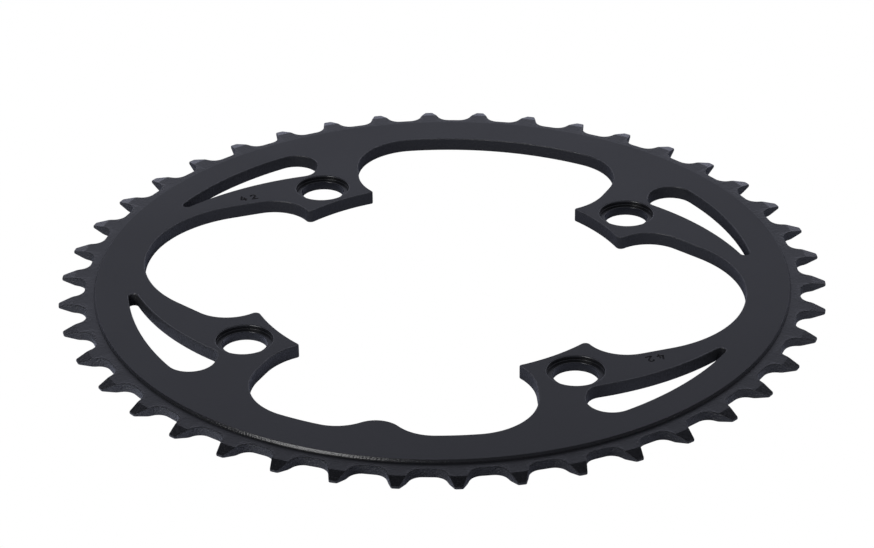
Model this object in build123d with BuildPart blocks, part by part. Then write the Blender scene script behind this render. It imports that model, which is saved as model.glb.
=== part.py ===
"""Bicycle chainring: one aluminium plate, turned to a thin toothed edge, then pierced and drilled.

The origin is on the ring's axis at the back face, +Z points out of the face with the counterbores,
and the bump that catches the chain is on the -Y side. Lengths are in millimetres, angles in degrees.
"""

import os
from math import asin, cos, degrees, hypot, radians, sin, sqrt, tan

from build123d import *

# Chain and teeth
tooth_count = 42
chain_pitch = 12.7
roller_diameter = 7.75
root_clearance = 0.05
tooth_addendum = 1.92
tip_land = 1.75
tooth_flank_angle = 18.5
tooth_root_fillet = 3.0
tooth_phase = 0.9

# Section of the plate, from its face out to the tapered tips, which lie nearer the back face
plate_thickness = 3.15
tooth_thickness = 2.1
tooth_offset = 0.15
tip_thickness = 0.5
tip_taper_length = 3.1
root_margin = 2.05
shoulder_angle = 55.0

# Rim, measured in from the shoulder, and the bump on its inner edge
rim_width = 9.48
bump_height = 4.9
bump_nose_radius = 6.2
bump_blend_radius = 9.8

# Bolt tabs, measured from the bolt centres
bolt_circle = 104.0
tab_angle = 45.0
bolt_hole_diameter = 10.0
counterbore_diameter = 12.5
counterbore_depth = 1.0
tab_end_margin = 8.0
tab_crest_radius = 1.25
tab_knee_radius = 0.6

# End openings, across Y: straight flanks between two round corners
end_flank_offset = 5.62
end_flank_angle = 14.6
end_flank_length = 3.9
end_corner_radius = 14.1

# Side openings, across X: straight struts, a crest beside each tab and a wide bow at the rim
strut_angle = 30.0
crest_offset = 8.16
crest_drop = 17.77
crest_radius = 9.15
bow_radius = 26.6

# Windows between the struts and the rim
window_rim_width = 7.38
window_web = 7.75
window_tip_angle = 12.49
window_end_offset = 3.93
window_end_radius = 5.4
window_knee_radius = 3.6
window_tip_radius = 1.05

# Broken edges of the opening, windows and counterbores, on the face with the counterbores
edge_break = 0.2

# Largest share of a wall that a fillet on it may take
long_fillet_share = 0.99
corner_fillet_share = 0.36
tip_fillet_share = 0.08

# Radii and heights of the section
half_pitch_angle = 180 / tooth_count
pitch_radius = chain_pitch / (2 * sin(radians(half_pitch_angle)))
root_radius = pitch_radius - roller_diameter / 2 - root_clearance
tip_radius = pitch_radius + tooth_addendum
taper_radius = tip_radius - tip_taper_length
tooth_middle = plate_thickness / 2 - tooth_offset
tooth_top = tooth_middle + tooth_thickness / 2
tooth_bottom = tooth_middle - tooth_thickness / 2
shoulder_foot = root_radius - root_margin
front_shoulder = shoulder_foot - (plate_thickness - tooth_top) / tan(radians(shoulder_angle))
back_shoulder = shoulder_foot - tooth_bottom / tan(radians(shoulder_angle))
rim_inner_radius = front_shoulder - rim_width

# Centre of the bolt hole in the first quadrant
bolt_x = bolt_circle / 2 * cos(radians(tab_angle))
bolt_y = bolt_circle / 2 * sin(radians(tab_angle))

# Half section of the turned blank
with BuildSketch(Plane.XZ) as blank_section:
    with BuildLine():
        Polyline(
            (0, plate_thickness),
            (front_shoulder, plate_thickness),
            (shoulder_foot, tooth_top),
            (taper_radius, tooth_top),
            (tip_radius, tooth_middle + tip_thickness / 2),
            (tip_radius, tooth_middle - tip_thickness / 2),
            (taper_radius, tooth_bottom),
            (shoulder_foot, tooth_bottom),
            (back_shoulder, 0),
            (0, 0),
            close=True,
        )
    make_face()

# Gap between two teeth, on the +X axis: straight flanks down to a rounded root
tip_corner_angle = half_pitch_angle - degrees(asin(tip_land / 2 / tip_radius))
gap_flank_angle = half_pitch_angle + tooth_flank_angle
gap_slope = tan(radians(gap_flank_angle))
tip_corner_x = tip_radius * cos(radians(tip_corner_angle))
tip_corner_y = tip_radius * sin(radians(tip_corner_angle))
gap_root_y = tip_corner_y - (tip_corner_x - root_radius) * gap_slope
gap_mouth_x = tip_radius + tooth_addendum
gap_mouth_y = tip_corner_y + (gap_mouth_x - tip_corner_x) * gap_slope
with BuildSketch() as tooth_gap:
    with BuildLine():
        Polyline(
            (root_radius, -gap_root_y),
            (gap_mouth_x, -gap_mouth_y),
            (gap_mouth_x, gap_mouth_y),
            (root_radius, gap_root_y),
            close=True,
        )
    make_face()
    fillet(tooth_gap.vertices().group_by(Axis.X)[0], tooth_root_fillet)

# End opening on +Y: its upper corner is tangent to the rim, its lower one turns in under the tab
end_corner_x = bolt_x - end_flank_offset - end_corner_radius
end_corner_y = sqrt((rim_inner_radius - end_corner_radius) ** 2 - end_corner_x**2)
end_corner_angle = 90 - degrees(asin(end_corner_x / (rim_inner_radius - end_corner_radius)))
end_corner_turn = end_corner_angle + end_flank_angle
end_knee_x = end_corner_x - end_flank_length * sin(radians(end_flank_angle))
end_knee_y = end_corner_y - end_flank_length * cos(radians(end_flank_angle))
with BuildSketch() as end_opening:
    with BuildLine():
        knee = CenterArc((end_knee_x, end_knee_y), end_corner_radius, -90, 90 - end_flank_angle)
        corner = CenterArc((end_corner_x, end_corner_y), end_corner_radius, -end_flank_angle, end_corner_turn)
        CenterArc((0, 0), rim_inner_radius, end_corner_angle, 90 - end_corner_angle)
        Line(knee @ 1, corner @ 0)
        Polyline((0, 0), (end_knee_x, 0), knee @ 0)
        mirror(about=Plane.YZ)
    make_face()

# Side opening on +X: a wedge between two struts, cut off by the rim, with its corners there bowed
crest_angle = 90 - strut_angle
crest_x = bolt_x + crest_offset
crest_y = bolt_y - crest_drop
crest_cos = cos(radians(crest_angle))
crest_sin = sin(radians(crest_angle))
strut_reach = crest_x * crest_cos + crest_y * crest_sin + crest_radius
strut_start = crest_y * crest_cos - crest_x * crest_sin
rim_clearance = rim_inner_radius - strut_reach
bow_rim_limit = (strut_reach - rim_inner_radius * crest_cos) / (1 - crest_cos)
bow_strut_limit = (rim_inner_radius**2 - strut_reach**2 - strut_start**2) / (2 * rim_clearance)
bow_limit = long_fillet_share * min(bow_rim_limit, bow_strut_limit)
with BuildSketch() as side_opening:
    with BuildLine():
        crest = CenterArc((crest_x, crest_y), crest_radius, crest_angle, 180 - crest_angle)
        Line((strut_reach / crest_cos, 0), crest @ 0)
        Line(crest @ 1, (crest_x - crest_radius, 0))
        mirror(about=Plane.XZ)
    make_face()
    Circle(rim_inner_radius, mode=Mode.INTERSECT)
    fillet(side_opening.vertices().group_by(Axis.X)[-1], min(bow_radius, bow_limit))

# Whole central opening, with the bump left standing on the rim and the tab corners eased, more beside the
# crests than under the end openings
with BuildSketch() as opening:
    Circle(bolt_circle / 2 - tab_end_margin)
    with PolarLocations(0, 2):
        add(end_opening.sketch)
        add(side_opening.sketch)
    for place, corner_radius in ((-1, tab_crest_radius), (0, tab_knee_radius)):
        tab_corners = opening.vertices().group_by(lambda v: Vector(v).length)[0]
        fillet(tab_corners.group_by(lambda v: abs(v.X))[place], corner_radius)
    with Locations((0, bump_height - bump_nose_radius - rim_inner_radius)):
        Circle(bump_nose_radius, mode=Mode.SUBTRACT)
    fillet(opening.vertices().sort_by(Axis.Y)[:2], bump_blend_radius)

# Two windows beside the +Y tabs: each is a crescent cut off square, with three rounded corners
window_outer_radius = front_shoulder - window_rim_width
window_web_radius = bolt_circle / 2 + window_web
window_tip_reach = window_outer_radius * cos(radians(tab_angle + window_tip_angle))
window_centre_offset = (window_outer_radius**2 - window_web_radius**2) / (2 * window_tip_reach)
window_inner_radius = hypot(window_web_radius, window_centre_offset)
window_centre_x = window_centre_offset * sin(radians(tab_angle))
window_centre_y = -window_centre_offset * cos(radians(tab_angle))
window_end_x = bolt_x + window_end_offset
window_end_top = sqrt(window_outer_radius**2 - window_end_x**2)
window_end_foot = window_centre_y + sqrt(window_inner_radius**2 - (window_end_x - window_centre_x) ** 2)
window_corner_limit = corner_fillet_share * (window_end_top - window_end_foot)
window_tip_limit = tip_fillet_share * (window_end_top - window_end_foot)
with BuildSketch() as windows:
    Circle(window_outer_radius)
    with Locations((window_centre_x, window_centre_y)):
        Circle(window_inner_radius, mode=Mode.SUBTRACT)
    with Locations((window_end_x, 0)):
        Rectangle(
            window_outer_radius, window_outer_radius, align=(Align.MIN, Align.MIN), mode=Mode.INTERSECT
        )
    fillet(windows.vertices().sort_by(Axis.Y)[0], min(window_tip_radius, window_tip_limit))
    window_knee = windows.vertices().group_by(Axis.X)[0].sort_by(Axis.Y)[0]
    fillet(window_knee, min(window_knee_radius, window_corner_limit))
    fillet(windows.vertices().sort_by(Axis.Y)[-1], min(window_end_radius, window_corner_limit))
    mirror(about=Plane.YZ)

# The ring: turned, toothed, pierced and drilled
with BuildPart() as chainring:
    add(blank_section.sketch)
    revolve(axis=Axis.Z)
    with BuildSketch():
        with PolarLocations(0, tooth_count, start_angle=tooth_phase + half_pitch_angle):
            add(tooth_gap.sketch)
    extrude(amount=plate_thickness, mode=Mode.SUBTRACT)
    with BuildSketch():
        add(opening.sketch)
        with PolarLocations(0, 2):
            add(windows.sketch)
    extrude(amount=plate_thickness, mode=Mode.SUBTRACT)
    with Locations((0, 0, plate_thickness)):
        with GridLocations(2 * bolt_x, 2 * bolt_y, 2, 2):
            CounterBoreHole(bolt_hole_diameter / 2, counterbore_diameter / 2, counterbore_depth)
    chamfer(chainring.faces().sort_by(Axis.Z)[-1].inner_wires().edges(), edge_break)

os.makedirs("parts", exist_ok=True)
chainring.part.label = "chainring"
export_step(chainring.part, "parts/chainring.step")
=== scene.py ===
"""Dresses the bicycle chainring: one black anodised plate with eased edges and a stamped tooth count.

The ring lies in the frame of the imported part: its axis is Z, its back face is at zero and the bump that
catches the chain is on the -Y side. The ring's sizes are in millimetres until its mesh is written, the
finish and the studio are in metres, and angles are in degrees.
"""

import logging
from dataclasses import dataclass, field, fields, replace
from enum import Enum
from math import asin, cos, hypot, radians, sin, sqrt, tan

import bpy
import numpy as np
from mathutils import Matrix, Vector
from mathutils.geometry import delaunay_2d_cdt


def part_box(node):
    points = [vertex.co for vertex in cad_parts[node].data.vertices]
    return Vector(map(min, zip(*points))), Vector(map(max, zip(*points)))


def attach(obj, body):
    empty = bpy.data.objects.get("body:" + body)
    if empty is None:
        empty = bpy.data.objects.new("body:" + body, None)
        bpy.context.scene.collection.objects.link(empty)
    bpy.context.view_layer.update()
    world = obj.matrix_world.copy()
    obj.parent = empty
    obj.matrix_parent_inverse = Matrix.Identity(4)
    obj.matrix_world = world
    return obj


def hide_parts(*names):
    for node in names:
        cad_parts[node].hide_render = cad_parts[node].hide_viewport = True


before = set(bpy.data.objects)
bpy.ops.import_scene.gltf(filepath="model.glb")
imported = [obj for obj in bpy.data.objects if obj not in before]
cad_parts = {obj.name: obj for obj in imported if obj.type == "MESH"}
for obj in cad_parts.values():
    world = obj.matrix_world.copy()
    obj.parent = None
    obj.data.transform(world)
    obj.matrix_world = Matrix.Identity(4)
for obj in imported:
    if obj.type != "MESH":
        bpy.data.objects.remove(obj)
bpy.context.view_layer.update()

log = logging.getLogger("chainring")
NODE = "chainring"
MILLIMETRE = 0.001
QUARTER_TURN = 90.0
HALF_TURN = 180.0
FULL_CIRCLE = 2 * np.pi
WHITE = (1.0, 1.0, 1.0, 1.0)
NODE_SPACING = 200

# A turn this close to a full circle is none, in radians
TURN_SLACK = 1e-4
# Straight runs below this length are left out, in millimetres
SHORTEST_RUN = 1e-3
# Points in one cell of this size become one, in millimetres
WELD_STEP = 1e-4
# Flat fills keep only the triangles inside their loops
TRIANGLES_INSIDE = 1
FILL_TOLERANCE = 1e-7
# Keeps roots and quotients in the room's shader above zero
JUST_OVER_ONE = 1.0001


class Mask(Enum):
    """Named marks kept on the mesh, read by the finish."""

    POLISHED = "polished"
    TURNED = "turned"
    MILLED = "milled"
    STAMPED = "stamped"

    @property
    def column(self) -> int:
        """Place of the mark in a row of strengths."""
        return list(Mask).index(self)

    @staticmethod
    def strengths(marks: dict["Mask", float]) -> list[float]:
        """Row of strengths, with zero for each mark that isn't given."""
        return [marks.get(mask, 0.0) for mask in Mask]


class Corner(Enum):
    """Quarter rounds of a section.

    Each has its first and last angle from the offset axis, the side of the wall its centre lies on,
    which is also the sense of its normal, and whether its centre is above or below the face it meets.
    """

    FACE_TO_WALL = (90.0, 180.0, 1.0, -1.0)
    WALL_TO_BACK = (180.0, 270.0, 1.0, 1.0)
    WALL_TO_FLOOR = (0.0, -90.0, -1.0, 1.0)


Marks = dict[Mask, float]
Disc = tuple[float, float, float]


def meet(first: Disc, second: Disc, left: bool) -> tuple[float, float]:
    """Finds where two circles cross.

    Args:
        first: Centre x, centre y and radius of the first circle.
        second: The same for the second circle.
        left: Whether the crossing to the left of the line from first to second is wanted.

    Returns:
        The crossing's x and y.
    """
    across = np.subtract(second[:2], first[:2])
    distance = float(np.hypot(*across))
    along = (first[2] ** 2 - second[2] ** 2 + distance**2) / (2 * distance)
    aside = sqrt(first[2] ** 2 - along**2) * (1 if left else -1)
    step = across / distance
    return (
        float(first[0] + along * step[0] - aside * step[1]),
        float(first[1] + along * step[1] + aside * step[0]),
    )


def lifted(flat: np.ndarray, height: np.ndarray) -> np.ndarray:
    """Adds a third part to a grid of flat vectors: (x, y) becomes (x, y, height)."""
    return np.concatenate((flat, np.broadcast_to(height, flat.shape[:2])[..., None]), axis=2)


@dataclass(frozen=True)
class Belt:
    """Closed outline that runs over discs like a belt.

    A disc is x, y and s, with s above zero where the belt turns left round it and below zero where it turns
    right. The point with right-hand normal m on a disc is C + s m. Between two discs
    C2 - C1 = (s1 - s2) m + L t, where t is m turned left by a quarter, so the straight run is
    L = sqrt(|C2 - C1|^2 - (s1 - s2)^2) and the angle of m there is the angle of C2 - C1 less
    atan2(L, s1 - s2).
    """

    discs: np.ndarray
    sag: float = 0.006
    widest_turn: float = 12.0
    longest_run: float = 2.5

    def sample(self) -> tuple[np.ndarray, np.ndarray]:
        """Samples the outline.

        Returns:
            Points and right-hand unit normals, each N by 2, in order.
        """
        centres = self.discs[:, :2]
        radii = self.discs[:, 2]
        ahead = np.roll(centres, -1, axis=0) - centres
        change = radii - np.roll(radii, -1)
        run = np.sqrt(np.maximum((ahead**2).sum(axis=1) - change**2, 0.0))
        leave = np.arctan2(ahead[:, 1], ahead[:, 0]) - np.arctan2(run, change)
        enter = np.roll(leave, 1)
        turn = np.where(radii > 0, (leave - enter) % FULL_CIRCLE, -((enter - leave) % FULL_CIRCLE))
        turn = np.where(np.abs(turn) > FULL_CIRCLE - TURN_SLACK, 0.0, turn)
        sagging = 2 * np.arccos(1 - self.sag / np.abs(radii).clip(self.sag))
        fine = np.minimum(sagging, radians(self.widest_turn))
        steps = np.maximum(np.ceil(np.abs(turn) / fine), 1).astype(int)
        spans = np.maximum(np.ceil(run / self.longest_run), 1).astype(int)
        points = []
        normals = []
        for centre, radius, first, sweep, count, length, parts in zip(
            centres, radii, enter, turn, steps, run, spans
        ):
            angles = first + sweep * np.linspace(0, 1, count + 1)
            arc_normals = np.stack((np.cos(angles), np.sin(angles)), axis=1)
            arc_points = centre + radius * arc_normals
            if length < SHORTEST_RUN:
                points.append(arc_points[:-1])
                normals.append(arc_normals[:-1])
                continue
            reach = np.arange(1, parts)[:, None] * (length / parts)
            along = np.array((-arc_normals[-1, 1], arc_normals[-1, 0]))
            points.append(np.vstack((arc_points, arc_points[-1] + reach * along)))
            normals.append(np.vstack((arc_normals, np.repeat(arc_normals[-1:], parts - 1, axis=0))))
        return np.vstack(points), np.vstack(normals)

    def placed(self, size: float, turn: float, place: np.ndarray) -> "Belt":
        """Copies the belt scaled, turned and moved.

        Args:
            size: Scale.
            turn: Angle in degrees.
            place: Where the origin goes.

        Returns:
            The placed belt.
        """
        run = cos(radians(turn))
        rise = sin(radians(turn))
        spin = size * np.array(((run, rise), (-rise, run)))
        discs = np.column_stack((self.discs[:, :2] @ spin + place, self.discs[:, 2] * size))
        return replace(self, discs=discs)


@dataclass(frozen=True)
class Profile:
    """Section carried along an outline: offset from it into the metal, height, normal and marks."""

    offset: np.ndarray
    height: np.ndarray
    normal_offset: np.ndarray
    normal_height: np.ndarray
    marks: np.ndarray

    @staticmethod
    def round(corner: Corner, radius: float, height: float, steps: int, marks: Marks) -> "Profile":
        """Makes a quarter round: (o, z) = middle + radius (cos a, sin a), with the normal out of the metal.

        Args:
            corner: Which quarter.
            radius: Its radius.
            height: Height of the face it meets.
            steps: Number of steps.
            marks: Strength of each Mask.

        Returns:
            The profile.
        """
        first, last, sense, above = corner.value
        turn = np.radians(np.linspace(first, last, steps + 1))
        return Profile(
            sense * radius + radius * np.cos(turn),
            height + above * radius + radius * np.sin(turn),
            sense * np.cos(turn),
            sense * np.sin(turn),
            np.tile(Mask.strengths(marks), (steps + 1, 1)),
        )

    @staticmethod
    def join(parts: list["Profile"]) -> "Profile":
        """Joins profiles end to end."""
        names = [entry.name for entry in fields(Profile)]
        return Profile(*(np.concatenate([getattr(part, name) for part in parts]) for name in names))

    def shifted(self, offset: float) -> "Profile":
        """Copies the profile moved into the metal."""
        return replace(self, offset=self.offset + offset)

    def carried(self, points: np.ndarray, inward: np.ndarray) -> tuple[np.ndarray, np.ndarray, np.ndarray]:
        """Carries the profile along an outline: X = p + o m, with m the unit normal into the metal.

        Args:
            points: Outline points, N by 2.
            inward: Unit normals into the metal, N by 2.

        Returns:
            Rows by columns of points, normals and marks.
        """
        flat = points[None] + self.offset[:, None, None] * inward[None]
        side = self.normal_offset[:, None, None] * inward[None]
        surface = lifted(flat, self.height[:, None])
        normals = lifted(side, self.normal_height[:, None])
        return surface, normals, np.repeat(self.marks[:, None], len(points), axis=1)


class Skin:
    """Collects grids and flat fills, then joins them into one closed mesh."""

    def __init__(self) -> None:
        """Starts empty."""
        self._points: list[np.ndarray] = []
        self._normals: list[np.ndarray] = []
        self._marks: list[np.ndarray] = []
        self._faces: list[np.ndarray] = []
        self._count = 0

    def _keep(self, points: np.ndarray, normals: np.ndarray, marks: np.ndarray) -> int:
        """Keeps vertices.

        Args:
            points: N by 3.
            normals: N by 3.
            marks: N by the number of masks.

        Returns:
            Index of the first one.
        """
        first = self._count
        self._points.append(points)
        self._normals.append(normals)
        self._marks.append(marks)
        self._count += len(points)
        return first

    def grid(self, points: np.ndarray, normals: np.ndarray, marks: np.ndarray) -> None:
        """Adds a grid that closes on itself along its columns.

        Args:
            points: Rows by columns by 3.
            normals: Rows by columns by 3.
            marks: Rows by columns by the number of masks.
        """
        rows, columns = points.shape[:2]
        count = rows * columns
        first = self._keep(points.reshape(count, -1), normals.reshape(count, -1), marks.reshape(count, -1))
        index = first + np.arange(count).reshape(rows, columns)
        beside = np.roll(index, -1, axis=1)
        faces = np.stack((index[:-1], beside[:-1], beside[1:], index[1:]), axis=-1)
        self._faces.append(faces.reshape(-1, 4))

    def fill(self, loops: list[np.ndarray], upward: bool, marks: Marks) -> None:
        """Fills a flat face inside its first loop, leaving the other loops open.

        Args:
            loops: Each N by 3, all at one height.
            upward: Whether the face looks along +Z.
            marks: Strength of each Mask.
        """
        points = np.vstack(loops)
        starts = np.cumsum([0] + [len(loop) for loop in loops])
        bounds = [list(range(first, last)) for first, last in zip(starts[:-1], starts[1:])]
        flat = [Vector(point) for point in points[:, :2].tolist()]
        filled = delaunay_2d_cdt(flat, [], bounds, TRIANGLES_INSIDE, FILL_TOLERANCE)
        _, _, faces, sources, _, owners = filled
        source = np.array([origin[0] for origin in sources])
        solid = np.array([owner == [0] for owner in owners])
        normals = np.tile((0.0, 0.0, 1.0 if upward else -1.0), (len(points), 1))
        first = self._keep(points, normals, np.tile(Mask.strengths(marks), (len(points), 1)))
        triangles = first + source[np.array(faces)[solid]]
        self._faces.append(np.column_stack((triangles, triangles[:, 2])))

    def mesh(self, name: str) -> bpy.types.Mesh:
        """Joins everything into one mesh in metres, with its own normals and marks.

        Args:
            name: Mesh name.

        Returns:
            The mesh.
        """
        points = np.vstack(self._points)
        faces = np.vstack(self._faces)
        cells = np.round(points / WELD_STEP).astype(np.int64)
        _, first, merged = np.unique(cells, axis=0, return_index=True, return_inverse=True)
        merged = merged.reshape(-1)
        normals = np.zeros((len(first), 3))
        marks = np.zeros((len(first), len(Mask)))
        np.add.at(normals, merged, np.vstack(self._normals))
        np.maximum.at(marks, merged, np.vstack(self._marks))
        normals /= np.linalg.norm(normals, axis=1, keepdims=True)
        points = points[first]
        faces = self._outward(self._cleaned(merged[faces]), points, normals)
        used, faces = np.unique(faces, return_inverse=True)
        faces = faces.reshape(-1, 4)
        corners = np.where(faces[:, 3] == faces[:, 2], 3, 4)
        keep = np.arange(4)[None] < corners[:, None]
        starts = np.concatenate(([0], np.cumsum(corners)[:-1]))
        mesh = bpy.data.meshes.new(name)
        mesh.vertices.add(len(used))
        mesh.vertices.foreach_set("co", (points[used] * MILLIMETRE).ravel())
        mesh.loops.add(int(corners.sum()))
        mesh.loops.foreach_set("vertex_index", faces[keep].astype(np.int32))
        mesh.polygons.add(len(faces))
        mesh.polygons.foreach_set("loop_start", starts.astype(np.int32))
        mesh.update(calc_edges=True)
        mesh.validate()
        mesh.shade_smooth()
        for mask in Mask:
            layer = mesh.attributes.new(mask.value, "FLOAT", "POINT")
            layer.data.foreach_set("value", marks[used, mask.column].astype(np.float32))
        mesh.normals_split_custom_set_from_vertices(normals[used].tolist())
        return mesh

    @staticmethod
    def _cleaned(faces: np.ndarray) -> np.ndarray:
        """Drops collapsed faces and turns quads with two equal corners into triangles.

        Args:
            faces: N by 4.

        Returns:
            Faces by 4, with the last corner repeated in triangles.
        """
        same = faces == np.roll(faces, -1, axis=1)
        shift = np.where(same.any(axis=1), np.argmax(same, axis=1) + 2, 0)
        order = (np.arange(4)[None] + shift[:, None]) % 4
        turned = np.take_along_axis(faces, order, axis=1)
        first, second, third, fourth = turned.T
        flat = (first == second) | (second == third) | (first == third) | (second == fourth)
        return turned[~flat]

    @staticmethod
    def _outward(faces: np.ndarray, points: np.ndarray, normals: np.ndarray) -> np.ndarray:
        """Turns every face so that it looks out of the metal.

        Args:
            faces: N by 4.
            points: Vertices.
            normals: Vertex normals out of the metal.

        Returns:
            The faces, turned where needed.
        """
        a, b, c, d = (points[faces[:, corner]] for corner in range(4))
        triangle = (faces[:, 3] == faces[:, 2])[:, None]
        facing = np.cross(c - a, np.where(triangle, c - b, d - b))
        wanted = normals[faces].sum(axis=1)
        inside = (facing * wanted).sum(axis=1) < 0
        flipped = np.where(triangle, faces[:, [0, 2, 1, 1]], faces[:, [0, 3, 2, 1]])
        return np.where(inside[:, None], flipped, faces)


@dataclass(frozen=True)
class RingSizes:
    """Driving sizes of the ring and the radii that follow from them."""

    plate_thickness: float
    tooth_count: int = 42
    chain_pitch: float = 12.7
    roller_diameter: float = 7.75
    root_clearance: float = 0.05
    tooth_addendum: float = 1.92
    tip_land: float = 1.75
    flank_angle: float = 18.5
    root_fillet: float = 3.0
    tooth_phase: float = 0.9
    tooth_thickness: float = 2.1
    tooth_offset: float = 0.15
    tip_thickness: float = 0.5
    tip_taper: float = 3.1
    root_margin: float = 2.05
    shoulder_angle: float = 55.0
    rim_width: float = 9.48
    bump_height: float = 4.9
    bump_nose: float = 6.2
    bump_blend: float = 9.8
    bolt_circle: float = 104.0
    tab_angle: float = 45.0
    hole_diameter: float = 10.0
    counterbore_diameter: float = 12.5
    counterbore_depth: float = 1.0
    tab_margin: float = 8.0
    tab_crest: float = 1.25
    tab_knee: float = 0.6
    end_offset: float = 5.62
    end_angle: float = 14.6
    end_flank: float = 3.9
    end_corner: float = 14.1
    crest_offset: float = 8.16
    crest_drop: float = 17.77
    crest_radius: float = 9.15
    bow_radius: float = 26.6
    strut_angle: float = 30.0
    window_rim: float = 7.38
    window_web: float = 7.75
    window_tip_angle: float = 12.49
    window_offset: float = 3.93
    window_end: float = 5.4
    window_knee: float = 3.6
    window_tip: float = 1.05

    @property
    def half_pitch(self) -> float:
        """Half the angle between two teeth."""
        return HALF_TURN / self.tooth_count

    @property
    def pitch_radius(self) -> float:
        """Radius of the circle through the roller centres."""
        return self.chain_pitch / (2 * sin(radians(self.half_pitch)))

    @property
    def root_radius(self) -> float:
        """Radius of the bottom of the tooth gaps."""
        return self.pitch_radius - self.roller_diameter / 2 - self.root_clearance

    @property
    def tip_radius(self) -> float:
        """Radius of the tooth tips."""
        return self.pitch_radius + self.tooth_addendum

    @property
    def taper_radius(self) -> float:
        """Radius where the tips start to taper."""
        return self.tip_radius - self.tip_taper

    @property
    def tooth_middle(self) -> float:
        """Height of the teeth's middle plane, which lies nearer the back face."""
        return self.plate_thickness / 2 - self.tooth_offset

    @property
    def shoulder_foot(self) -> float:
        """Radius of the shoulder's foot."""
        return self.root_radius - self.root_margin

    @property
    def front_shoulder(self) -> float:
        """Radius where the front face ends."""
        return self.shoulder_radius(self.plate_thickness - self.tooth_middle)

    @property
    def rim_radius(self) -> float:
        """Radius of the rim's inner edge."""
        return self.front_shoulder - self.rim_width

    @property
    def bolt(self) -> float:
        """Distance of each bolt centre from both middle planes."""
        return self.bolt_circle / 2 * cos(radians(self.tab_angle))

    def shoulder_radius(self, face: float) -> float:
        """Radius where a shoulder leaves a face, which is given from the teeth's middle plane."""
        slope = tan(radians(self.shoulder_angle))
        return self.shoulder_foot - (face - self.tooth_thickness / 2) / slope


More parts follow.
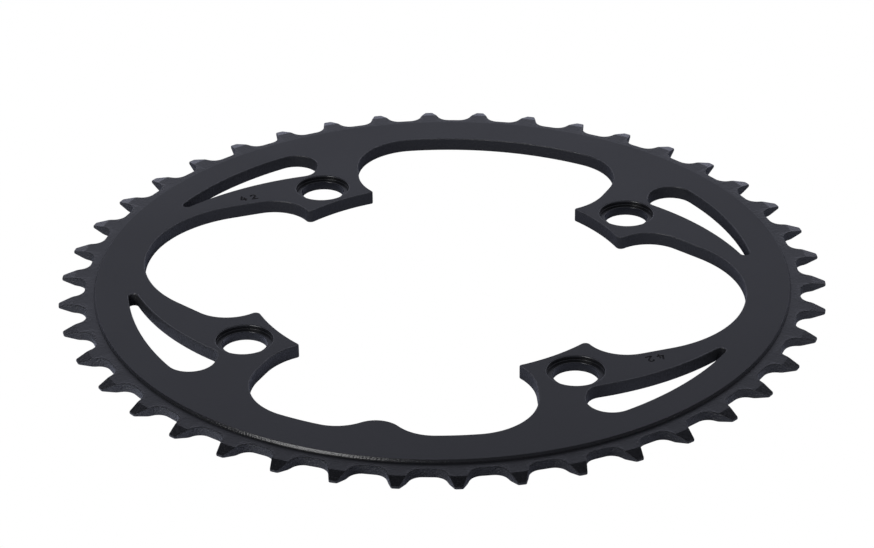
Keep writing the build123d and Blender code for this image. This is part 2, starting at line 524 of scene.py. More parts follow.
@dataclass(frozen=True)
class Outlines:
    """The ring's outlines as belts, all seen from the front."""

    sizes: RingSizes
    tip_corner: float = 0.5
    tooth_sag: float = 0.011
    tooth_turn: float = 18.0
    tooth_run: float = 0.6

    def teeth(self) -> Belt:
        """Toothed edge: tip lands, straight flanks and round roots.

        The flank leaves the root line at half a pitch plus the flank angle, and each corner disc touches
        both its neighbours.

        Returns:
            The belt, with the metal on its left.
        """
        s = self.sizes
        slope_angle = radians(s.half_pitch + s.flank_angle)
        slope = tan(slope_angle)
        land_angle = radians(s.half_pitch) - asin(s.tip_land / 2 / s.tip_radius)
        root_y = s.tip_radius * sin(land_angle) - (s.tip_radius * cos(land_angle) - s.root_radius) * slope
        fillet_x = s.root_radius + s.root_fillet
        fillet_y = root_y + s.root_fillet * (slope - 1 / cos(slope_angle))
        base = np.array((s.root_radius, root_y + self.tip_corner / cos(slope_angle)))
        along = np.array((cos(slope_angle), sin(slope_angle)))
        corner_circle = s.tip_radius - self.tip_corner
        reach = -base @ along + sqrt((base @ along) ** 2 - base @ base + corner_circle**2)
        tip_x, tip_y = base + reach * along
        gap = np.array(
            (
                (0.0, 0.0, s.tip_radius),
                (tip_x, -tip_y, self.tip_corner),
                (fillet_x, -fillet_y, -s.root_fillet),
                (fillet_x, fillet_y, -s.root_fillet),
                (tip_x, tip_y, self.tip_corner),
            )
        )
        turns = np.radians(s.tooth_phase + s.half_pitch * (1 + 2 * np.arange(s.tooth_count)))[:, None]
        x = gap[:, 0] * np.cos(turns) - gap[:, 1] * np.sin(turns)
        y = gap[:, 0] * np.sin(turns) + gap[:, 1] * np.cos(turns)
        discs = np.stack((x, y, np.broadcast_to(gap[:, 2], x.shape)), axis=-1).reshape(-1, 3)
        return Belt(discs, self.tooth_sag, self.tooth_turn, self.tooth_run)

    @staticmethod
    def _quadrants(discs: np.ndarray) -> list[np.ndarray]:
        """Copies discs of the first quadrant into all four, in reverse where they are mirrored once."""
        return [discs, discs[::-1] * (-1, 1, 1), discs * (-1, -1, 1), discs[::-1] * (1, -1, 1)]

    def opening(self) -> Belt:
        """Central opening: four bowed quarters joined by the rim, with the bump on the -Y side.

        Returns:
            The belt, with the metal on its right.
        """
        s = self.sizes
        corner_x = s.bolt - s.end_offset - s.end_corner
        corner_y = sqrt((s.rim_radius - s.end_corner) ** 2 - corner_x**2)
        knee_x = corner_x - s.end_flank * sin(radians(s.end_angle))
        knee_y = corner_y - s.end_flank * cos(radians(s.end_angle))
        crest_x = s.bolt + s.crest_offset
        crest_y = s.bolt - s.crest_drop
        strut_turn = radians(QUARTER_TURN - s.strut_angle)
        strut_reach = crest_x * cos(strut_turn) + crest_y * sin(strut_turn) + s.crest_radius
        bow_reach = s.rim_radius - s.bow_radius
        bow_turn = strut_turn - np.arccos((strut_reach - s.bow_radius) / bow_reach)
        tab_end = s.bolt_circle / 2 - s.tab_margin
        crest = (crest_x, crest_y, s.crest_radius + s.tab_crest)
        knee = (knee_x, knee_y, s.end_corner + s.tab_knee)
        crest_corner = meet((0.0, 0.0, tab_end + s.tab_crest), crest, left=True)
        knee_corner = meet((0.0, 0.0, tab_end + s.tab_knee), knee, left=False)
        quarter = np.array(
            (
                (bow_reach * cos(bow_turn), bow_reach * sin(bow_turn), s.bow_radius),
                (crest_x, crest_y, s.crest_radius),
                (*crest_corner, -s.tab_crest),
                (0.0, 0.0, tab_end),
                (*knee_corner, -s.tab_knee),
                (knee_x, knee_y, s.end_corner),
                (corner_x, corner_y, s.end_corner),
            )
        )
        rim = np.array(((0.0, 0.0, s.rim_radius),))
        nose_y = s.bump_height - s.bump_nose - s.rim_radius
        blend_circle = (0.0, 0.0, s.rim_radius - s.bump_blend)
        blend_x, blend_y = meet(blend_circle, (0.0, nose_y, s.bump_nose + s.bump_blend), left=True)
        bump = np.array(
            (
                (-blend_x, blend_y, s.bump_blend),
                (0.0, nose_y, -s.bump_nose),
                (blend_x, blend_y, s.bump_blend),
            )
        )
        first, second, third, fourth = self._quadrants(quarter)
        return Belt(np.vstack((rim, first, rim, second, rim, third, rim, bump, rim, fourth)))

    def windows(self) -> list[Belt]:
        """Four windows: crescents cut off square, with three round corners each.

        Returns:
            The belts, with the metal on their right.
        """
        s = self.sizes
        outer = s.front_shoulder - s.window_rim
        web = s.bolt_circle / 2 + s.window_web
        offset = (outer**2 - web**2) / (2 * outer * cos(radians(s.tab_angle + s.window_tip_angle)))
        inner = hypot(web, offset)
        centre = offset * sin(radians(s.tab_angle))
        end_x = s.bolt + s.window_offset
        top_x = end_x + s.window_end
        top_y = sqrt((outer - s.window_end) ** 2 - top_x**2)
        knee_x = end_x + s.window_knee
        knee_y = sqrt((inner + s.window_knee) ** 2 - (knee_x - centre) ** 2) - centre
        tip = meet((0.0, 0.0, outer - s.window_tip), (centre, -centre, inner + s.window_tip), left=True)
        window = np.array(
            (
                (0.0, 0.0, outer),
                (top_x, top_y, s.window_end),
                (knee_x, knee_y, s.window_knee),
                (centre, -centre, -inner),
                (*tip, s.window_tip),
            )
        )
        return [Belt(discs) for discs in self._quadrants(window)]

    @staticmethod
    def circle(centre: tuple[float, float], radius: float, steps: int) -> tuple[np.ndarray, np.ndarray]:
        """Samples a round hole: p = centre + radius m.

        Args:
            centre: Middle of the hole.
            radius: Its radius.
            steps: Number of points.

        Returns:
            Points and unit normals into the metal.
        """
        turn = np.linspace(0, FULL_CIRCLE, steps, endpoint=False)
        inward = np.stack((np.cos(turn), np.sin(turn)), axis=1)
        return np.array(centre) + radius * inward, inward


@dataclass(frozen=True)
class Digits:
    """Two plain stamped digits, the tooth count, drawn one unit high with round-ended strokes."""

    half_stroke: float = 0.085
    corner: float = 0.025
    sag: float = 0.002
    widest_turn: float = 15.0
    middle: tuple[float, float] = (0.33, 0.5)
    bow_place: tuple[float, float] = (0.31, 0.70)
    bow_radius: float = 0.215
    hook_angle: float = 168.0
    foot_end: float = 0.59
    bar_height: float = 0.33
    bar_end: float = 0.62
    stem_place: float = 0.46
    stem_top: float = 0.64
    slant_top: float = 0.30

    def two(self) -> Belt:
        """Figure 2: a hooked bow, a straight diagonal and a foot.

        Returns:
            The belt, with the metal on its right.
        """
        h = self.half_stroke
        c = self.corner
        bow = self.bow_radius
        bow_x, bow_y = self.bow_place
        reach = np.array((bow_x - h, bow_y - h))
        run = sqrt(reach @ reach - bow**2)
        side = np.arctan2(reach[1], reach[0]) - np.arctan2(run, -bow)
        crook = h + (h + c) * (1 - sin(side)) / cos(side)
        hook = radians(self.hook_angle)
        discs = (
            (h, h, h),
            (self.foot_end, h, h),
            (crook, 2 * h + c, -c),
            (bow_x, bow_y, bow + h),
            (bow_x + bow * cos(hook), bow_y + bow * sin(hook), h),
            (bow_x, bow_y, h - bow),
        )
        return Belt(np.array(discs), self.sag, self.widest_turn)

    def four(self) -> Belt:
        """Figure 4, open at the top: a slanted stroke, a bar and a stem.

        Returns:
            The belt, with the metal on its right.
        """
        h = self.half_stroke
        c = self.corner
        bar = self.bar_height
        stem = self.stem_place
        slant = np.array((self.slant_top - h, 1 - h - bar))
        slant = slant / np.hypot(*slant)
        crook = h + (h + c) * (1 + slant[0]) / slant[1]
        low = bar - h - c
        high = bar + h + c
        before = stem - h - c
        after = stem + h + c
        discs = (
            (stem, h, h),
            (after, low, -c),
            (self.bar_end, bar, h),
            (after, high, -c),
            (stem, self.stem_top, h),
            (before, high, -c),
            (crook, high, -c),
            (self.slant_top, 1 - h, h),
            (h, bar, h),
            (before, low, -c),
        )
        return Belt(np.array(discs), self.sag, self.widest_turn)


class Nodes:
    """Small helper for laying out shader nodes."""

    def __init__(self, tree: bpy.types.NodeTree) -> None:
        """Keeps the tree that nodes are added to."""
        self.tree = tree
        self._across = 0

    def _put(self, value: object, target: bpy.types.NodeSocket) -> None:
        """Links a socket to an input, or sets the input to a plain value.

        Args:
            value: Socket or value.
            target: Input.
        """
        if isinstance(value, bpy.types.NodeSocket):
            self.tree.links.new(value, target)
        else:
            target.default_value = value

    def add(self, kind: str, inputs: dict | None = None, **properties: object) -> bpy.types.Node:
        """Adds a node.

        Args:
            kind: Node type.
            inputs: Sockets or values by the name or number of the input.
            **properties: Node properties.

        Returns:
            The node.
        """
        node = self.tree.nodes.new(kind)
        node.location = (self._across, 0)
        self._across += NODE_SPACING
        for name, value in properties.items():
            setattr(node, name, value)
        for name, value in (inputs or {}).items():
            self._put(value, node.inputs[name])
        return node

    def math(self, operation: str, *inputs: object) -> bpy.types.NodeSocket:
        """Works out sockets or numbers with a math node."""
        return self.add("ShaderNodeMath", dict(enumerate(inputs)), operation=operation).outputs[0]

    def noise(
        self, place: bpy.types.NodeSocket, size: bpy.types.NodeSocket, detail: float
    ) -> bpy.types.NodeSocket:
        """Adds soft noise in space.

        Args:
            place: Coordinates.
            size: Size of its spots.
            detail: How many finer layers it has.

        Returns:
            Its value, from 0 to 1.
        """
        inputs = {"Vector": place, "Scale": self.math("DIVIDE", 1.0, size), "Detail": detail}
        return self.add("ShaderNodeTexNoise", inputs, noise_dimensions="3D").outputs["Fac"]

    def bump(
        self, height: bpy.types.NodeSocket, below: bpy.types.NodeSocket | None = None
    ) -> bpy.types.NodeSocket:
        """Turns a height into a normal.

        Args:
            height: Height in metres.
            below: Normal that it is laid over, where there is one.

        Returns:
            The normal.
        """
        inputs = {"Strength": 1.0, "Distance": 1.0, "Height": height}
        if below is not None:
            inputs["Normal"] = below
        return self.add("ShaderNodeBump", inputs).outputs["Normal"]

    def ease(self, value: bpy.types.NodeSocket, low: float, high: float) -> bpy.types.NodeSocket:
        """Rises smoothly from 0 where the value is low to 1 where it is high."""
        inputs = {"Value": value, "From Min": low, "From Max": high}
        return self.add("ShaderNodeMapRange", inputs, interpolation_type="SMOOTHSTEP").outputs[0]

    def blend(self, share: object, first: object, second: object) -> bpy.types.NodeSocket:
        """Goes from the first value to the second by a share."""
        inputs = {"Factor": share, "A": first, "B": second}
        return self.add("ShaderNodeMix", inputs, data_type="FLOAT").outputs["Result"]

    def ramp(
        self, value: bpy.types.NodeSocket, stops: tuple[tuple[float, float], ...]
    ) -> bpy.types.NodeSocket:
        """Adds a ramp of grey tones.

        Args:
            value: Place along the ramp.
            stops: Places from 0 to 1, each with its tone.

        Returns:
            The tone.
        """
        node = self.add("ShaderNodeValToRGB", {0: value})
        elements = node.color_ramp.elements
        for place, _ in stops[1:-1]:
            elements.new(place)
        for element, (place, tone) in zip(elements, stops):
            element.position = place
            element.color = (tone, tone, tone, 1.0)
        return node.outputs["Color"]

    def mark(self, mask: Mask) -> bpy.types.NodeSocket:
        """Reads one of the mesh's marks."""
        return self.add("ShaderNodeAttribute", attribute_name=mask.value).outputs["Fac"]

    def end_white(self, shader: bpy.types.Node, white: str, output: str) -> None:
        """Ends a tree that is plain white to the camera.

        Args:
            shader: What everything but the camera sees.
            white: Type of the white shader.
            output: Type of the output node.
        """
        plain = self.add(white, {"Color": WHITE})
        seen = self.add("ShaderNodeLightPath").outputs["Is Camera Ray"]
        choice = self.add("ShaderNodeMixShader", {0: seen, 1: shader.outputs[0], 2: plain.outputs[0]})
        self.add(output, {"Surface": choice.outputs[0]})


def start_group(
    name: str, inputs: tuple[str, ...], outputs: tuple[str, ...]
) -> tuple[Nodes, bpy.types.bpy_prop_collection]:
    """Starts a shader node group that reads coordinates and values.

    Args:
        name: Its name.
        inputs: Names of the values it reads.
        outputs: Names of the values it puts out.

    Returns:
        Its nodes and the sockets of its inputs.
    """
    group = bpy.data.node_groups.new(name, "ShaderNodeTree")
    group.interface.new_socket("Coordinates", in_out="INPUT", socket_type="NodeSocketVector")
    for value in inputs:
        group.interface.new_socket(value, in_out="INPUT", socket_type="NodeSocketFloat")
    for value in outputs:
        group.interface.new_socket(value, in_out="OUTPUT", socket_type="NodeSocketFloat")
    nodes = Nodes(group)
    return nodes, nodes.add("NodeGroupInput").outputs


def grain_group(pit_detail: float = 2.0, cloud_detail: float = 3.0) -> bpy.types.NodeTree:
    """Makes the shared grain: fine blasted pits and slow cloudiness, from object coordinates.

    Args:
        pit_detail: Finer layers in the pits.
        cloud_detail: Finer layers in the cloudiness.

    Returns:
        Group with inputs Coordinates, Pit Size, Pit Depth and Cloud Size, and outputs Height and Cloud.
    """
    values = ("Pit Size", "Pit Depth", "Cloud Size")
    nodes, given = start_group("Blasted grain", values, ("Height", "Cloud"))
    pits = nodes.noise(given["Coordinates"], given["Pit Size"], pit_detail)
    cloud = nodes.noise(given["Coordinates"], given["Cloud Size"], cloud_detail)
    height = nodes.math("MULTIPLY", pits, given["Pit Depth"])
    nodes.add("NodeGroupOutput", {"Height": height, "Cloud": cloud})
    return nodes.tree


def tool_mark_group(stroke_squash: float = 0.08, stroke_detail: float = 2.0) -> bpy.types.NodeTree:
    """Makes the shared tool marks: rings about the axis where turned, upright strokes where milled.

    Args:
        stroke_squash: Scale of heights in the strokes, which draws them out upright.
        stroke_detail: Finer layers in the strokes.

    Returns:
        Group with inputs Coordinates, Turned, Milled, the pitch and depth of both marks, and output Height.
    """
    values = ("Turned", "Milled", "Ring Pitch", "Stroke Pitch", "Ring Depth", "Stroke Depth")
    nodes, given = start_group("Tool marks", values, ("Height",))
    x, y, z = nodes.add("ShaderNodeSeparateXYZ", {0: given["Coordinates"]}).outputs
    square = nodes.math("ADD", nodes.math("POWER", x, 2.0), nodes.math("POWER", y, 2.0))
    rings = nodes.math("DIVIDE", nodes.math("SQRT", square), given["Ring Pitch"])
    ring_noise = nodes.add("ShaderNodeTexNoise", {"W": rings, "Scale": 1.0}, noise_dimensions="1D")
    upright = nodes.add("ShaderNodeCombineXYZ", {0: x, 1: y, 2: nodes.math("MULTIPLY", z, stroke_squash)})
    strokes = nodes.noise(upright.outputs[0], given["Stroke Pitch"], stroke_detail)
    ring_height = nodes.math("MULTIPLY", ring_noise.outputs["Fac"], given["Ring Depth"])
    stroke_height = nodes.math("MULTIPLY", strokes, given["Stroke Depth"])
    turned = nodes.math("MULTIPLY", ring_height, given["Turned"])
    milled = nodes.math("MULTIPLY", stroke_height, given["Milled"])
    nodes.add("NodeGroupOutput", {"Height": nodes.math("ADD", turned, milled)})
    return nodes.tree


@dataclass(frozen=True)
class AnodisedFinish:
    """Satin black anodised aluminium."""

    colour: tuple[float, float, float] = (0.0006, 0.00065, 0.0008)
    milled: tuple[float, float, float] = (0.005, 0.0052, 0.0058)
    roughness: float = 0.46
    milled_roughness: float = 0.68
    turned_roughness: float = 0.27
    polished_roughness: float = 0.2
    stamped_roughness: float = 0.9
    cloud_middle: float = 0.5
    cloud_roughness: float = 0.10
    index: float = 1.45
    pit_size: float = 0.00045
    cloud_size: float = 0.03
    ring_pitch: float = 0.00012
    stroke_pitch: float = 0.0006
    pit_depth: float = 0.000012
    milled_pit_depth: float = 0.00035
    turned_pit_depth: float = 0.00006
    ring_depth: float = 0.000012
    stroke_depth: float = 0.00009

    def material(self) -> bpy.types.Material:
        """Makes the finish.

        Returns:
            The material.
        """
        material = bpy.data.materials.new("black_anodised")
        material.use_nodes = True
        material.node_tree.nodes.clear()
        nodes = Nodes(material.node_tree)
        place = nodes.add("ShaderNodeTexCoord").outputs["Object"]
        strength = {mask: nodes.mark(mask) for mask in Mask}
        cut = nodes.math("MULTIPLY", strength[Mask.MILLED], self.milled_pit_depth)
        lathed = nodes.math("MULTIPLY", strength[Mask.TURNED], self.turned_pit_depth)
        grain_inputs = {
            "Coordinates": place,
            "Pit Size": self.pit_size,
            "Pit Depth": nodes.math("ADD", nodes.math("ADD", cut, lathed), self.pit_depth),
            "Cloud Size": self.cloud_size,
        }
        mark_inputs = {
            "Coordinates": place,
            "Turned": strength[Mask.TURNED],
            "Milled": strength[Mask.MILLED],
            "Ring Pitch": self.ring_pitch,
            "Stroke Pitch": self.stroke_pitch,
            "Ring Depth": self.ring_depth,
            "Stroke Depth": self.stroke_depth,
        }
        grain = nodes.add("ShaderNodeGroup", grain_inputs, node_tree=grain_group())
        marks = nodes.add("ShaderNodeGroup", mark_inputs, node_tree=tool_mark_group())
        pits = nodes.bump(grain.outputs["Height"])
        # The milled grey tint follows the milled mark. It is the walls' own tone where the mark is full,
        # and painted shade where the mark is lowered on the pierced walls inside the ring.
        tint_inputs = {
            "Factor": strength[Mask.MILLED],
            "A": (*self.colour, 1.0),
            "B": (*self.milled, 1.0),
        }
        tint = nodes.add("ShaderNodeMix", tint_inputs, data_type="RGBA")
        away = nodes.math("SUBTRACT", grain.outputs["Cloud"], self.cloud_middle)
        roughness = nodes.math("ADD", nodes.math("MULTIPLY", away, self.cloud_roughness), self.roughness)
        for mask, own in (
            (Mask.MILLED, self.milled_roughness),
            (Mask.TURNED, self.turned_roughness),
            (Mask.STAMPED, self.stamped_roughness),
            (Mask.POLISHED, self.polished_roughness),
        ):
            change = nodes.math("MULTIPLY", strength[mask], own - self.roughness)
            roughness = nodes.math("ADD", roughness, change)
        shader_inputs = {
            "Base Color": tint.outputs["Result"],
            "Roughness": roughness,
            "IOR": self.index,
            "Normal": nodes.bump(marks.outputs["Height"], pits),
        }
        shader = nodes.add("ShaderNodeBsdfPrincipled", shader_inputs)
        nodes.add("ShaderNodeOutputMaterial", {"Surface": shader.outputs[0]})
        return material


@dataclass
class Chainring:
    """The whole ring as one closed skin."""

    sizes: RingSizes
    # Share of the milled mark on the pierced walls and the bores' back edges. It is partly their milled
    # finish and partly painted shade: below one, these walls get less of the milled grey tint than the
    # teeth's walls, so the inside of the ring comes out darker.
    inner_milled_and_shade: float = 0.4
    face_edge: float = 0.3
    back_edge: float = 0.20
    tooth_edge: float = 0.14
    shoulder_edge: float = 0.12
    foot_fillet: float = 0.04
    foot_edge: float = 0.03
    foot_wall_share: float = 0.22
    step_turned: float = 0.5
    crease: float = 0.30
    bore_edge: float = 0.16
    bore_fillet: float = 0.08
    ledge_polish: float = 0.5
    digit_height: float = 2.45
    digit_step: float = 2.6
    digit_depth: float = 0.22
    digit_edge: float = 0.04
    digit_fillet: float = 0.06
    digit_place: tuple[float, float] = (-52.93, 28.43)
    digit_turn: float = 32.0
    edge_steps: int = 4
    round_steps: int = 3
    knee_steps: int = 2
    crease_steps: int = 4
    hole_steps: int = 96
    skin: Skin = field(default_factory=Skin)

    def build(self) -> bpy.types.Object:
        """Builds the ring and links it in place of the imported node.

        Returns:
            The ring's object.
        """
        outlines = Outlines(self.sizes)
        bolt = self.sizes.bolt
        edges = [self._rim(outlines.teeth())]
        for outline in (outlines.opening(), *outlines.windows()):
            edges.append(self._pierce(*outline.sample()))
        for centre in ((-bolt, -bolt), (-bolt, bolt), (bolt, -bolt), (bolt, bolt)):
            edges.append(self._bore(centre))
        front = [top for top, _ in edges]
        front.extend(self._stamp())
        self.skin.fill(front, upward=True, marks={})
        self.skin.fill([bottom for _, bottom in edges], upward=False, marks={})
        mesh = self.skin.mesh("chainring_body")
        ring = bpy.data.objects.new("chainring_body", mesh)
        bpy.context.scene.collection.objects.link(ring)
        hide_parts(NODE)
        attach(ring, "root")
        return ring

    def dress(self, ring: bpy.types.Object, finish: AnodisedFinish) -> None:
        """Gives the ring its finish."""
        ring.data.materials.append(finish.material())

    def _tooth_height(self, radius: np.ndarray) -> tuple[np.ndarray, np.ndarray]:
        """Height of the teeth over their middle plane.

        They are flat, then taper in a straight line, with a parabola over the crease between.

        Args:
            radius: Distance from the axis.

        Returns:
            Height and the downward slope.
        """
        s = self.sizes
        slope = (s.tooth_thickness - s.tip_thickness) / 2 / s.tip_taper
        past = radius - s.taper_radius
        bent = np.clip(past + self.crease, 0, 2 * self.crease)
        drop = slope * (bent**2 / (4 * self.crease) + np.maximum(past - self.crease, 0))
        return s.tooth_thickness / 2 - drop, slope * bent / (2 * self.crease)

    def _shoulder(self, ray: np.ndarray, face: float) -> tuple[np.ndarray, np.ndarray]:
        """Makes the rows of a shoulder: a round edge, a cone, a low upright wall and a fillet at its foot.

        With a the lean of the normal, A the shoulder's angle and h half the teeth's thickness, the edge is
        R = Rf + e (sin a - tan(A / 2)), Z = f - e (1 - cos a), for a from 0 to A. The wall stands at Rw
        and is w high. The knee over it is R = Rw - k (1 - sin a),
        Z = h + w + k (cos a - tan((90 - A) / 2)), for a from A to 90, and the fillet is
        R = Rw + r (1 - sin a), Z = h + r (1 - cos a), for a from 90 to 0.

        Args:
            ray: Unit vectors away from the axis, one for each column.
            face: Distance of the face from the teeth's middle plane.

        Returns:
            Rows by columns of points and normals.
        """
        s = self.sizes
        angle = s.shoulder_angle
        half = s.tooth_thickness / 2
        wall = self.foot_wall_share * (face - half)
        wall_radius = s.shoulder_foot - wall / tan(radians(angle))
        edge_bend = tan(radians(angle / 2))
        knee_bend = tan(radians((QUARTER_TURN - angle) / 2))
        edge = np.radians(np.linspace(0, angle, self.edge_steps + 1))
        knee = np.radians(np.linspace(angle, QUARTER_TURN, self.knee_steps + 1))
        foot = np.radians(np.linspace(QUARTER_TURN, 0, self.round_steps + 1))
        radii = np.concatenate(
            (
                s.shoulder_radius(face) + self.shoulder_edge * (np.sin(edge) - edge_bend),
                wall_radius - self.foot_edge * (1 - np.sin(knee)),
                wall_radius + self.foot_fillet * (1 - np.sin(foot)),
            )
        )
        heights = np.concatenate(
            (
                face - self.shoulder_edge * (1 - np.cos(edge)),
                half + wall + self.foot_edge * (np.cos(knee) - knee_bend),
                half + self.foot_fillet * (1 - np.cos(foot)),
            )
        )
        lean = np.concatenate((edge, knee, foot))
        points = lifted(ray[None] * radii[:, None, None], heights[:, None])
        normals = lifted(ray[None] * np.sin(lean)[:, None, None], np.cos(lean)[:, None])
        return points, normals

    def _tooth_side(self, ray: np.ndarray, reach: np.ndarray) -> tuple[np.ndarray, np.ndarray]:
        """Makes the rows over the crease where the teeth start to taper: R = min(Rc, reach), Z = h(R).

        Args:
            ray: Unit vectors away from the axis, one for each column.
            reach: How far out each column may go.

        Returns:
            Rows by columns of points and normals.
        """
        nominal = self.sizes.taper_radius + self.crease * np.linspace(-1, 1, self.crease_steps + 1)
        across = np.minimum(nominal[:, None], reach[None])
        height, slope = self._tooth_height(across)
        length = np.sqrt(1 + slope**2)
        points = lifted(ray[None] * across[..., None], height)
        normals = lifted(ray[None] * (slope / length)[..., None], 1 / length)
        return points, normals

    def _tooth_round(
        self, outline: np.ndarray, outward: np.ndarray, ray: np.ndarray
    ) -> tuple[np.ndarray, np.ndarray]:
        """Makes the rows round the teeth's edge: X = p - e (1 - sin a) n, Z = h(R) - e (1 - cos a).

        Args:
            outline: Points of the toothed outline.
            outward: Its unit normals.
            ray: Unit vectors away from the axis, one for each column.

        Returns:
            Rows by columns of points and normals.
        """
        lean = np.radians(np.linspace(0, QUARTER_TURN, self.round_steps + 1))[:, None]
        flat = outline[None] - self.tooth_edge * (1 - np.sin(lean))[..., None] * outward[None]
        height, slope = self._tooth_height(np.hypot(flat[..., 0], flat[..., 1]))
        length = np.sqrt(1 + slope**2)
        taper = ray[None] * (np.cos(lean) * slope / length)[..., None]
        points = lifted(flat, height - self.tooth_edge * (1 - np.cos(lean)))
        normals = lifted(taper + np.sin(lean)[..., None] * outward[None], np.cos(lean) / length)
        return points, normals

    def _rim_half(self, teeth: Belt, face: float) -> tuple[np.ndarray, np.ndarray, np.ndarray]:
        """Makes one side of the ring's outside, from its face over the shoulder to the tooth wall.

        Each column stands at the polar angle of one point of the toothed outline, and its rows run out from
        the face. The cone and the taper are marked as turned, the flat between them less, and the wall of
        the teeth as milled.

        Args:
            teeth: Toothed outline.
            face: Distance of the face from the teeth's middle plane.

        Returns:
            Rows by columns of points, normals and marks, with heights from the middle plane.
        """
        outline, outward = teeth.sample()
        start = outline - self.tooth_edge * outward
        reach = np.hypot(start[:, 0], start[:, 1])
        ray = start / reach[:, None]
        shoulder = self._shoulder(ray, face)
        side = self._tooth_side(ray, reach)
        edge = self._tooth_round(outline, outward, ray)
        surface, normals = (np.concatenate(rows) for rows in zip(shoulder, side, edge))
        marks = np.zeros(surface.shape[:2] + (len(Mask),))
        turned = marks[..., Mask.TURNED.column]
        milled = marks[..., Mask.MILLED.column]
        cone_top = self.edge_steps
        cone_foot = cone_top + 1
        flat_start = len(shoulder[0]) - 1
        taper_start = len(shoulder[0]) + self.crease_steps // 2
        turned[cone_top : cone_foot + 1] = 1.0
        turned[flat_start:taper_start] = self.step_turned
        turned[taper_start:] = 1.0
        milled[-2:] = 1.0
        return surface, normals, marks

    def _rim(self, teeth: Belt) -> tuple[np.ndarray, np.ndarray]:
        """Adds the outside of the ring: its front half, then its back half, which is turned over.

        Args:
            teeth: Toothed outline.

        Returns:
            The first and last row, where the flat faces begin.
        """
        s = self.sizes
        middle = np.array((0.0, 0.0, s.tooth_middle))
        over = np.array((1.0, 1.0, -1.0))
        front, front_normals, front_marks = self._rim_half(teeth, s.plate_thickness - s.tooth_middle)
        back, back_normals, back_marks = self._rim_half(teeth, s.tooth_middle)
        surface = np.concatenate((front + middle, back[::-1] * over + middle))
        normals = np.concatenate((front_normals, back_normals[::-1] * over))
        self.skin.grid(surface, normals, np.concatenate((front_marks, back_marks[::-1])))
        return surface[0], surface[-1]

    def _front_edge(self, radius: float, height: float, marks: Marks) -> Profile:
        """Rounded upper edge of a wall, polished most at its middle.

        Args:
            radius: Edge radius.
            height: Height of the face above it.
            marks: Strength of each Mask.

        Returns:
            The profile, from the face to the wall.
        """
        shape = Profile.round(Corner.FACE_TO_WALL, radius, height, self.edge_steps, marks)
        polish = np.sin(np.linspace(0, np.pi, len(shape.marks)))
        column = Mask.POLISHED.column
        shape.marks[:, column] = np.maximum(polish, shape.marks[:, column])
        return shape

    def _back_edge(self) -> Profile:
        """Rounded lower edge of a wall.

        Returns:
            The profile, from the wall to the back face.
        """
        # The back edge takes the lower milled share, so its grey tint is partly painted shade.
        milled = {Mask.MILLED: self.inner_milled_and_shade}
        shape = Profile.round(Corner.WALL_TO_BACK, self.back_edge, 0.0, self.round_steps, milled)
        shape.marks[-1] = 0.0
        return shape

    def _pierce(self, points: np.ndarray, inward: np.ndarray) -> tuple[np.ndarray, np.ndarray]:
        """Adds the wall of an opening that goes right through.

        Args:
            points: Outline points.
            inward: Unit normals into the metal.

        Returns:
            The wall's first and last row.
        """
        # The pierced walls take the lower milled share, so their darker grey tint is partly painted shade
        # inside the ring.
        milled = {Mask.MILLED: self.inner_milled_and_shade}
        edge = self._front_edge(self.face_edge, self.sizes.plate_thickness, milled)
        edge.marks[0, Mask.MILLED.column] = 0.0
        wall = Profile.join([edge, self._back_edge()]).carried(points, inward)
        self.skin.grid(*wall)
        return wall[0][0], wall[0][-1]

    def _bore(self, centre: tuple[float, float]) -> tuple[np.ndarray, np.ndarray]:
        """Adds a counterbored bolt hole.

        Args:
            centre: Its axis.

        Returns:
            The hole's first and last row.
        """
        s = self.sizes
        ledge = s.plate_thickness - s.counterbore_depth
        step = (s.counterbore_diameter - s.hole_diameter) / 2
        bored = {Mask.POLISHED: self.ledge_polish}
        inner_edge = self._front_edge(self.bore_edge, ledge, {Mask.POLISHED: 1.0})
        inner_edge.marks[0] = Mask.strengths(bored)
        parts = [
            self._front_edge(self.face_edge, s.plate_thickness, {}),
            Profile.round(Corner.WALL_TO_FLOOR, self.bore_fillet, ledge, self.round_steps, bored),
            inner_edge.shifted(-step),
            self._back_edge().shifted(-step),
        ]
        circle = Outlines.circle(centre, s.counterbore_diameter / 2, self.hole_steps)
        wall = Profile.join(parts).carried(*circle)
        self.skin.grid(*wall)
        return wall[0][0], wall[0][-1]

    def _stamp(self) -> list[np.ndarray]:
        """Adds the stamped tooth count on two opposite struts.

        Returns:
            The loops the digits leave in the front face.
        """
        digits = Digits()
        top = self.sizes.plate_thickness
        floor = top - self.digit_depth
        stamped = {Mask.STAMPED: 1.0}
        edge = self._front_edge(self.digit_edge, top, stamped)
        edge.marks[0] = 0.0
        fillet = Profile.round(Corner.WALL_TO_FLOOR, self.digit_fillet, floor, self.round_steps, stamped)
        section = Profile.join([edge, fillet])
        half = self.digit_step / 2
        loops = []
        for side, turn in ((1, self.digit_turn), (-1, self.digit_turn + HALF_TURN)):
            run = np.array((cos(radians(turn)), sin(radians(turn))))
            rise = np.array((-run[1], run[0]))
            middle = side * np.array(self.digit_place)
            inset = self.digit_height * (digits.middle[0] * run + digits.middle[1] * rise)
            for belt, place in ((digits.four(), -half), (digits.two(), half)):
                corner = middle + place * run - inset
                wall = section.carried(*belt.placed(self.digit_height, turn, corner).sample())
                self.skin.grid(*wall)
                self.skin.fill([wall[0][-1]], upward=True, marks=stamped)
                loops.append(wall[0][0])
        return loops


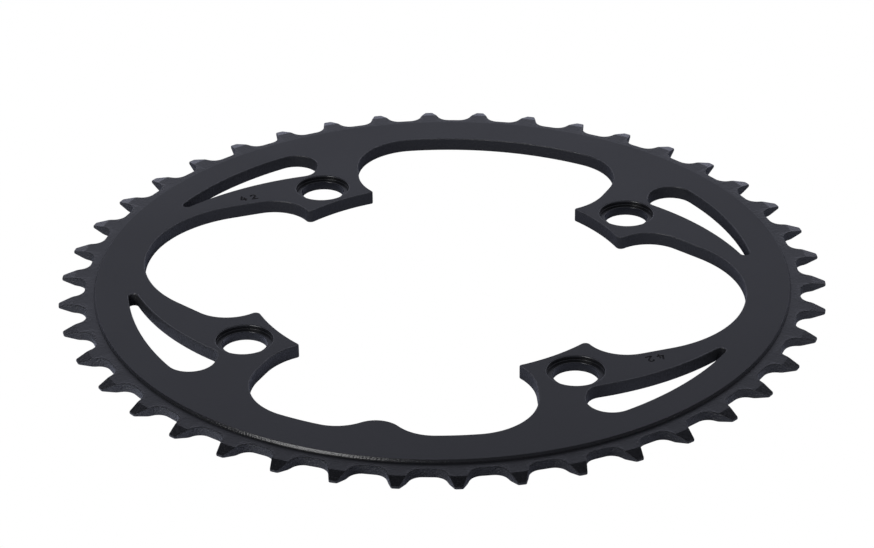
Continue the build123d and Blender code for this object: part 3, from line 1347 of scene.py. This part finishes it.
@dataclass(frozen=True)
class Softbox:
    """Round soft light aimed at the ring, placed along the camera's right, ahead and up."""

    name: str
    direction: tuple[float, float, float]
    distance: float
    size: float
    power: float
    mirrored: bool = True

    def build(self, heading: float) -> bpy.types.Object:
        """Hangs the light.

        Args:
            heading: Angle in degrees by which the camera's right is turned from X.

        Returns:
            The light.
        """
        way = (Matrix.Rotation(radians(heading), 3, "Z") @ Vector(self.direction)).normalized()
        data = bpy.data.lights.new(self.name, "AREA")
        data.shape = "DISK"
        data.size = self.size
        data.energy = self.power
        light = bpy.data.objects.new(self.name, data)
        light.location = way * self.distance
        light.rotation_euler = way.to_track_quat("Z", "Y").to_euler()
        light.visible_camera = False
        light.visible_glossy = self.mirrored
        bpy.context.scene.collection.objects.link(light)
        return light


@dataclass(frozen=True)
class Studio:
    """Pale floor, soft light and the camera at the photo's view."""

    focal_pixels: float = 3035.22
    picture_width: int = 874
    sensor: float = 36.0
    elevation: float = 29.068
    azimuth: float = 11.85
    roll: float = -0.72031
    distance: float = 0.69098
    aim_height: float = 0.001505
    shift_pixels: tuple[float, float] = (-5.298, 6.246)
    clip: tuple[float, float] = (0.01, 50.0)
    floor_size: float = 4.0
    floor_gap: float = 0.00003
    floor_colour: tuple[float, float, float] = (0.185, 0.195, 0.25)
    room_colour: tuple[float, float, float] = (0.95, 0.975, 1.17)
    side_tone: float = 0.17
    panel_foot: tuple[float, float] = (2.0, 20.0)
    panels: tuple[tuple[float, float], ...] = (
        (0.0, 0.9),
        (0.40, 0.9),
        (0.48, 0.17),
        (0.66, 0.17),
        (0.74, 1.5),
        (0.84, 1.5),
        (0.91, 0.05),
        (1.0, 0.05),
    )
    backdrop: tuple[tuple[float, float], ...] = (
        (0, 1.1),
        (8, 1.0),
        (16, 0.88),
        (24, 0.85),
        (31, 0.45),
        (40, 0.08),
        (62, 0.03),
        (90, 0.03),
    )
    backdrop_core: float = 5.0
    backdrop_edge: float = 31.0
    softboxes: tuple[Softbox, ...] = (
        Softbox("key_softbox", direction=(-0.556, -0.575, 0.600), distance=0.9, size=0.45, power=4.3),
        Softbox(
            "left_wash",
            direction=(-0.703, -0.570, 0.426),
            distance=0.19,
            size=0.06,
            power=0.75,
            mirrored=False,
        ),
        Softbox(
            "right_wash",
            direction=(0.799, -0.425, 0.426),
            distance=0.19,
            size=0.06,
            power=0.36,
            mirrored=False,
        ),
    )

    def camera(self) -> bpy.types.Object:
        """Places the camera.

        Returns:
            The camera.
        """
        azimuth = radians(self.azimuth)
        elevation = radians(self.elevation)
        roll = radians(self.roll)
        level = cos(elevation)
        back = Vector((sin(azimuth) * level, -cos(azimuth) * level, sin(elevation)))
        right = Vector((cos(azimuth), sin(azimuth), 0.0))
        up = back.cross(right)
        across = right * cos(roll) + up * sin(roll)
        upward = up * cos(roll) - right * sin(roll)
        data = bpy.data.cameras.new("photo_camera")
        data.sensor_fit = "HORIZONTAL"
        data.sensor_width = self.sensor
        data.lens = self.focal_pixels / self.picture_width * self.sensor
        data.shift_x = self.shift_pixels[0] / self.picture_width
        data.shift_y = self.shift_pixels[1] / self.picture_width
        data.clip_start, data.clip_end = self.clip
        camera = bpy.data.objects.new("photo_camera", data)
        place = Vector((0.0, 0.0, self.aim_height)) + back * self.distance
        turn = Matrix((across, upward, back)).transposed()
        camera.matrix_world = Matrix.LocRotScale(place, turn, None)
        bpy.context.scene.collection.objects.link(camera)
        bpy.context.scene.camera = camera
        return camera

    def floor(self) -> bpy.types.Object:
        """Lays the floor: white to the camera, a mid grey where it lights the ring.

        Returns:
            The floor.
        """
        half = self.floor_size / 2
        corners = np.array(((-1, -1), (1, -1), (1, 1), (-1, 1))) * half
        points = np.column_stack((corners, np.full(len(corners), -self.floor_gap)))
        mesh = bpy.data.meshes.new("floor")
        mesh.from_pydata(points.tolist(), [], [(0, 1, 2, 3)])
        floor = bpy.data.objects.new("floor", mesh)
        material = bpy.data.materials.new("pale_floor")
        material.use_nodes = True
        material.node_tree.nodes.clear()
        nodes = Nodes(material.node_tree)
        matt = nodes.add("ShaderNodeBsdfDiffuse", {"Color": (*self.floor_colour, 1.0)})
        nodes.end_white(matt, "ShaderNodeEmission", "ShaderNodeOutputMaterial")
        mesh.materials.append(material)
        bpy.context.scene.collection.objects.link(floor)
        return floor

    def world(self) -> bpy.types.World:
        """Makes the room: a backdrop that pales towards the horizon, and soft panels around the ring.

        A panel's tone goes by lean, the upright part of the normal that would mirror it to the camera:
        lean = (z + sin e) / |w + c|, for the panel's direction w and the camera's direction c at
        elevation e.

        Returns:
            The world.
        """
        world = bpy.data.worlds.new("room")
        world.use_nodes = True
        world.node_tree.nodes.clear()
        nodes = Nodes(world.node_tree)
        way = nodes.add("ShaderNodeTexCoord").outputs["Generated"]
        across, along, up = nodes.add("ShaderNodeSeparateXYZ", {0: way}).outputs
        height = nodes.math("DIVIDE", nodes.math("ARCSINE", up), np.pi / 2)
        backdrop = nodes.ramp(height, tuple((angle / QUARTER_TURN, tone) for angle, tone in self.backdrop))
        turn = radians(self.azimuth)
        across_part = nodes.math("MULTIPLY", across, -sin(turn))
        behind = nodes.math("ADD", across_part, nodes.math("MULTIPLY", along, cos(turn)))
        rise = sin(radians(self.elevation))
        run = cos(radians(self.elevation))
        overhead = nodes.math("MULTIPLY", up, rise)
        facing = nodes.math("SUBTRACT", overhead, nodes.math("MULTIPLY", behind, run))
        span = nodes.math("SQRT", nodes.math("MULTIPLY", nodes.math("ADD", facing, JUST_OVER_ONE), 2.0))
        lean = nodes.math("DIVIDE", nodes.math("ADD", up, rise), span)
        foot, top = (angle / QUARTER_TURN for angle in self.panel_foot)
        panels = nodes.ramp(lean, self.panels)
        surround = nodes.blend(nodes.ease(height, foot, top), self.side_tone, panels)
        level = nodes.math("SQRT", nodes.math("SUBTRACT", JUST_OVER_ONE, nodes.math("POWER", up, 2.0)))
        edge = cos(radians(self.backdrop_edge))
        core = cos(radians(self.backdrop_core))
        patch = nodes.ease(nodes.math("DIVIDE", behind, level), edge, core)
        tone = nodes.blend(patch, surround, backdrop)
        room = nodes.add("ShaderNodeBackground", {"Color": (*self.room_colour, 1.0), "Strength": tone})
        nodes.end_white(room, "ShaderNodeBackground", "ShaderNodeOutputWorld")
        bpy.context.scene.world = world
        return world

    def build(self) -> None:
        """Sets up the floor, room, lights and camera."""
        for make in (self.floor, self.world, self.camera):
            log.info("%s", make().name)
        for softbox in self.softboxes:
            log.info("%s", softbox.build(self.azimuth).name)
        bpy.context.scene.view_settings.view_transform = "Standard"


def main() -> None:
    """Builds the ring, with its thickness taken from the imported part's bounds, and the studio."""
    logging.basicConfig(level=logging.INFO, format="%(name)s: %(message)s")
    low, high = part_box(NODE)
    chainring = Chainring(RingSizes(plate_thickness=(high[2] - low[2]) / MILLIMETRE))
    ring = chainring.build()
    chainring.dress(ring, AnodisedFinish())
    log.info("%s: %d vertices, %d faces", ring.name, len(ring.data.vertices), len(ring.data.polygons))
    Studio().build()


if __name__ == "__main__":
    main()
